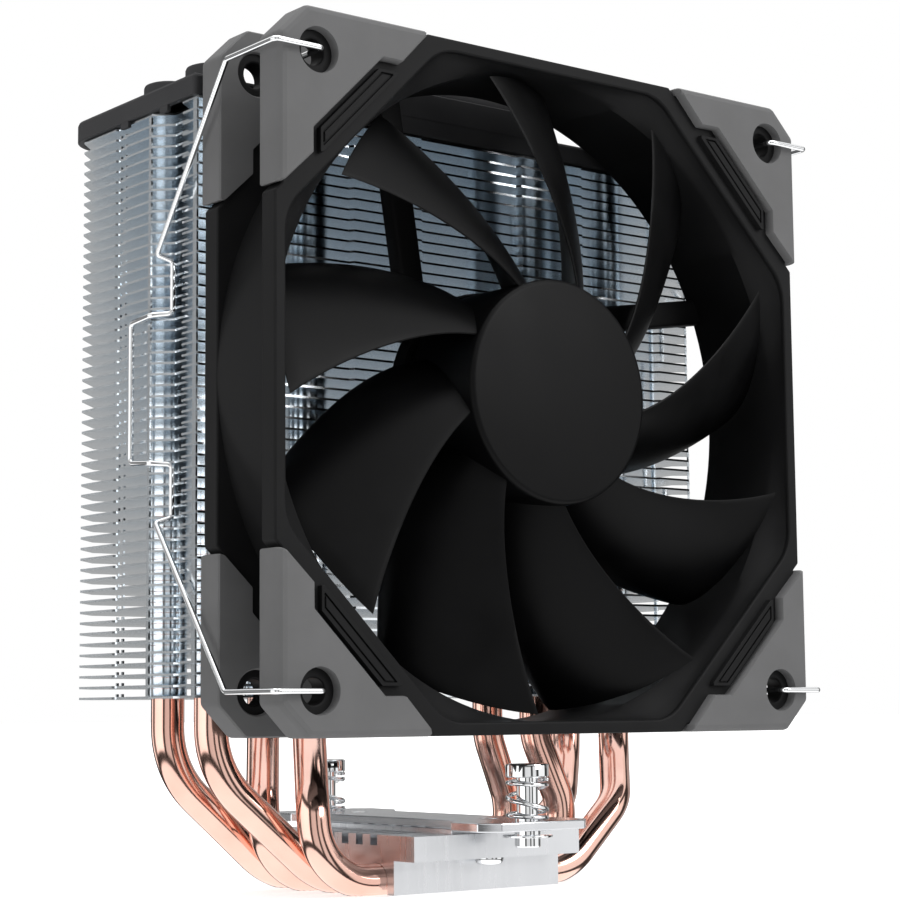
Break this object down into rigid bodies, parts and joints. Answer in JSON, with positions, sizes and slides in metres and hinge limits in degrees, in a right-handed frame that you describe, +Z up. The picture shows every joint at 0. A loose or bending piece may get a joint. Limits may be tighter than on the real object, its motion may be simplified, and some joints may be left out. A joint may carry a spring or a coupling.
{
  "type": "cpu tower cooler",
  "caption": "Tower cooler: a stack of aluminium fins on bent copper heat pipes, with a front axial fan held by spring wire clips and a base with a sprung mounting bar.",
  "frame": {"origin": "centre of the base's contact face, which lies on the processor", "axes": "+Z up, away from the processor; the fan faces -Y; +X to the right seen from the fan side"},
  "size_m": [0.1246, 0.0801, 0.148],
  "materials": {
    "base_aluminium": "satin, lightly brushed",
    "bar_steel": "nickel plated, satin",
    "screw_chrome": "bright nickel plate",
    "spring_steel": "bright spring wire",
    "copper": "polished copper",
    "fin_aluminium": "bright rolled sheet",
    "cover_plastic": "fine matt grain, charcoal",
    "frame_plastic": "fine matt grain, black",
    "impeller_plastic": "smooth matt, black",
    "motor_steel": "plain steel",
    "magnet": "bonded ferrite, dark grey",
    "white_plastic": "natural nylon",
    "bearing_bronze": "sintered bronze",
    "winding_copper": "enamelled wire",
    "board": "green solder mask",
    "label": "blank foil label",
    "pad_rubber": "matt grey rubber"
  },
  "bodies": {
    "cooler": {"base_block": "base_aluminium", "base_cap": "base_aluminium", "mounting_bar": "bar_steel", "bar_fixing_screws": "screw_chrome", "front_screw_spring": "spring_steel", "rear_screw_spring": "spring_steel", "heat_pipe_1": "copper", "heat_pipe_2": "copper", "heat_pipe_3": "copper", "heat_pipe_4": "copper", "fin_stack": "fin_aluminium", "fin_collars": "fin_aluminium", "top_cover": "cover_plastic", "fan_frame": "frame_plastic", "bearing_sleeve": "bearing_bronze", "thrust_pad": "white_plastic", "stator_core": "motor_steel", "stator_windings": "winding_copper", "circuit_board": "board", "motor_label": "label", "front_pad_top_left": "pad_rubber", "front_pad_top_right": "pad_rubber", "front_pad_bottom_left": "pad_rubber", "front_pad_bottom_right": "pad_rubber", "rear_pad_top_left": "pad_rubber", "rear_pad_top_right": "pad_rubber", "rear_pad_bottom_left": "pad_rubber", "rear_pad_bottom_right": "pad_rubber", "left_wire_clip": "spring_steel", "right_wire_clip": "spring_steel"},
    "rotor": {"impeller": "impeller_plastic", "rotor_yoke": "motor_steel", "magnet_ring": "magnet", "motor_shaft": "screw_chrome", "shaft_clip": "white_plastic"},
    "front_ring": {"front_retaining_ring": "spring_steel"},
    "front_screw": {"front_mounting_screw": "screw_chrome"},
    "rear_ring": {"rear_retaining_ring": "spring_steel"},
    "rear_screw": {"rear_mounting_screw": "screw_chrome"}
  },
  "joints": [
    {"name": "fan_spin", "type": "hinge", "parent": "cooler", "child": "rotor", "pos_m": [0, -0.03, 0.088], "axis": [0, -1, 0], "continuous": true},
    {"name": "front_screw_travel", "type": "slide", "parent": "cooler", "child": "front_ring", "axis": [0, 0, -1], "range_m": [0, 0.0045], "stiffness_N_per_m": 2000, "deforming": ["front_screw_spring"]},
    {"name": "front_screw_spin", "type": "hinge", "parent": "front_ring", "child": "front_screw", "pos_m": [0, -0.0311, 0.015], "axis": [0, 0, 1], "continuous": true},
    {"name": "rear_screw_travel", "type": "slide", "parent": "cooler", "child": "rear_ring", "axis": [0, 0, -1], "range_m": [0, 0.0045], "stiffness_N_per_m": 2000, "deforming": ["rear_screw_spring"]},
    {"name": "rear_screw_spin", "type": "hinge", "parent": "rear_ring", "child": "rear_screw", "pos_m": [0, 0.0311, 0.015], "axis": [0, 0, 1], "continuous": true}
  ]
}
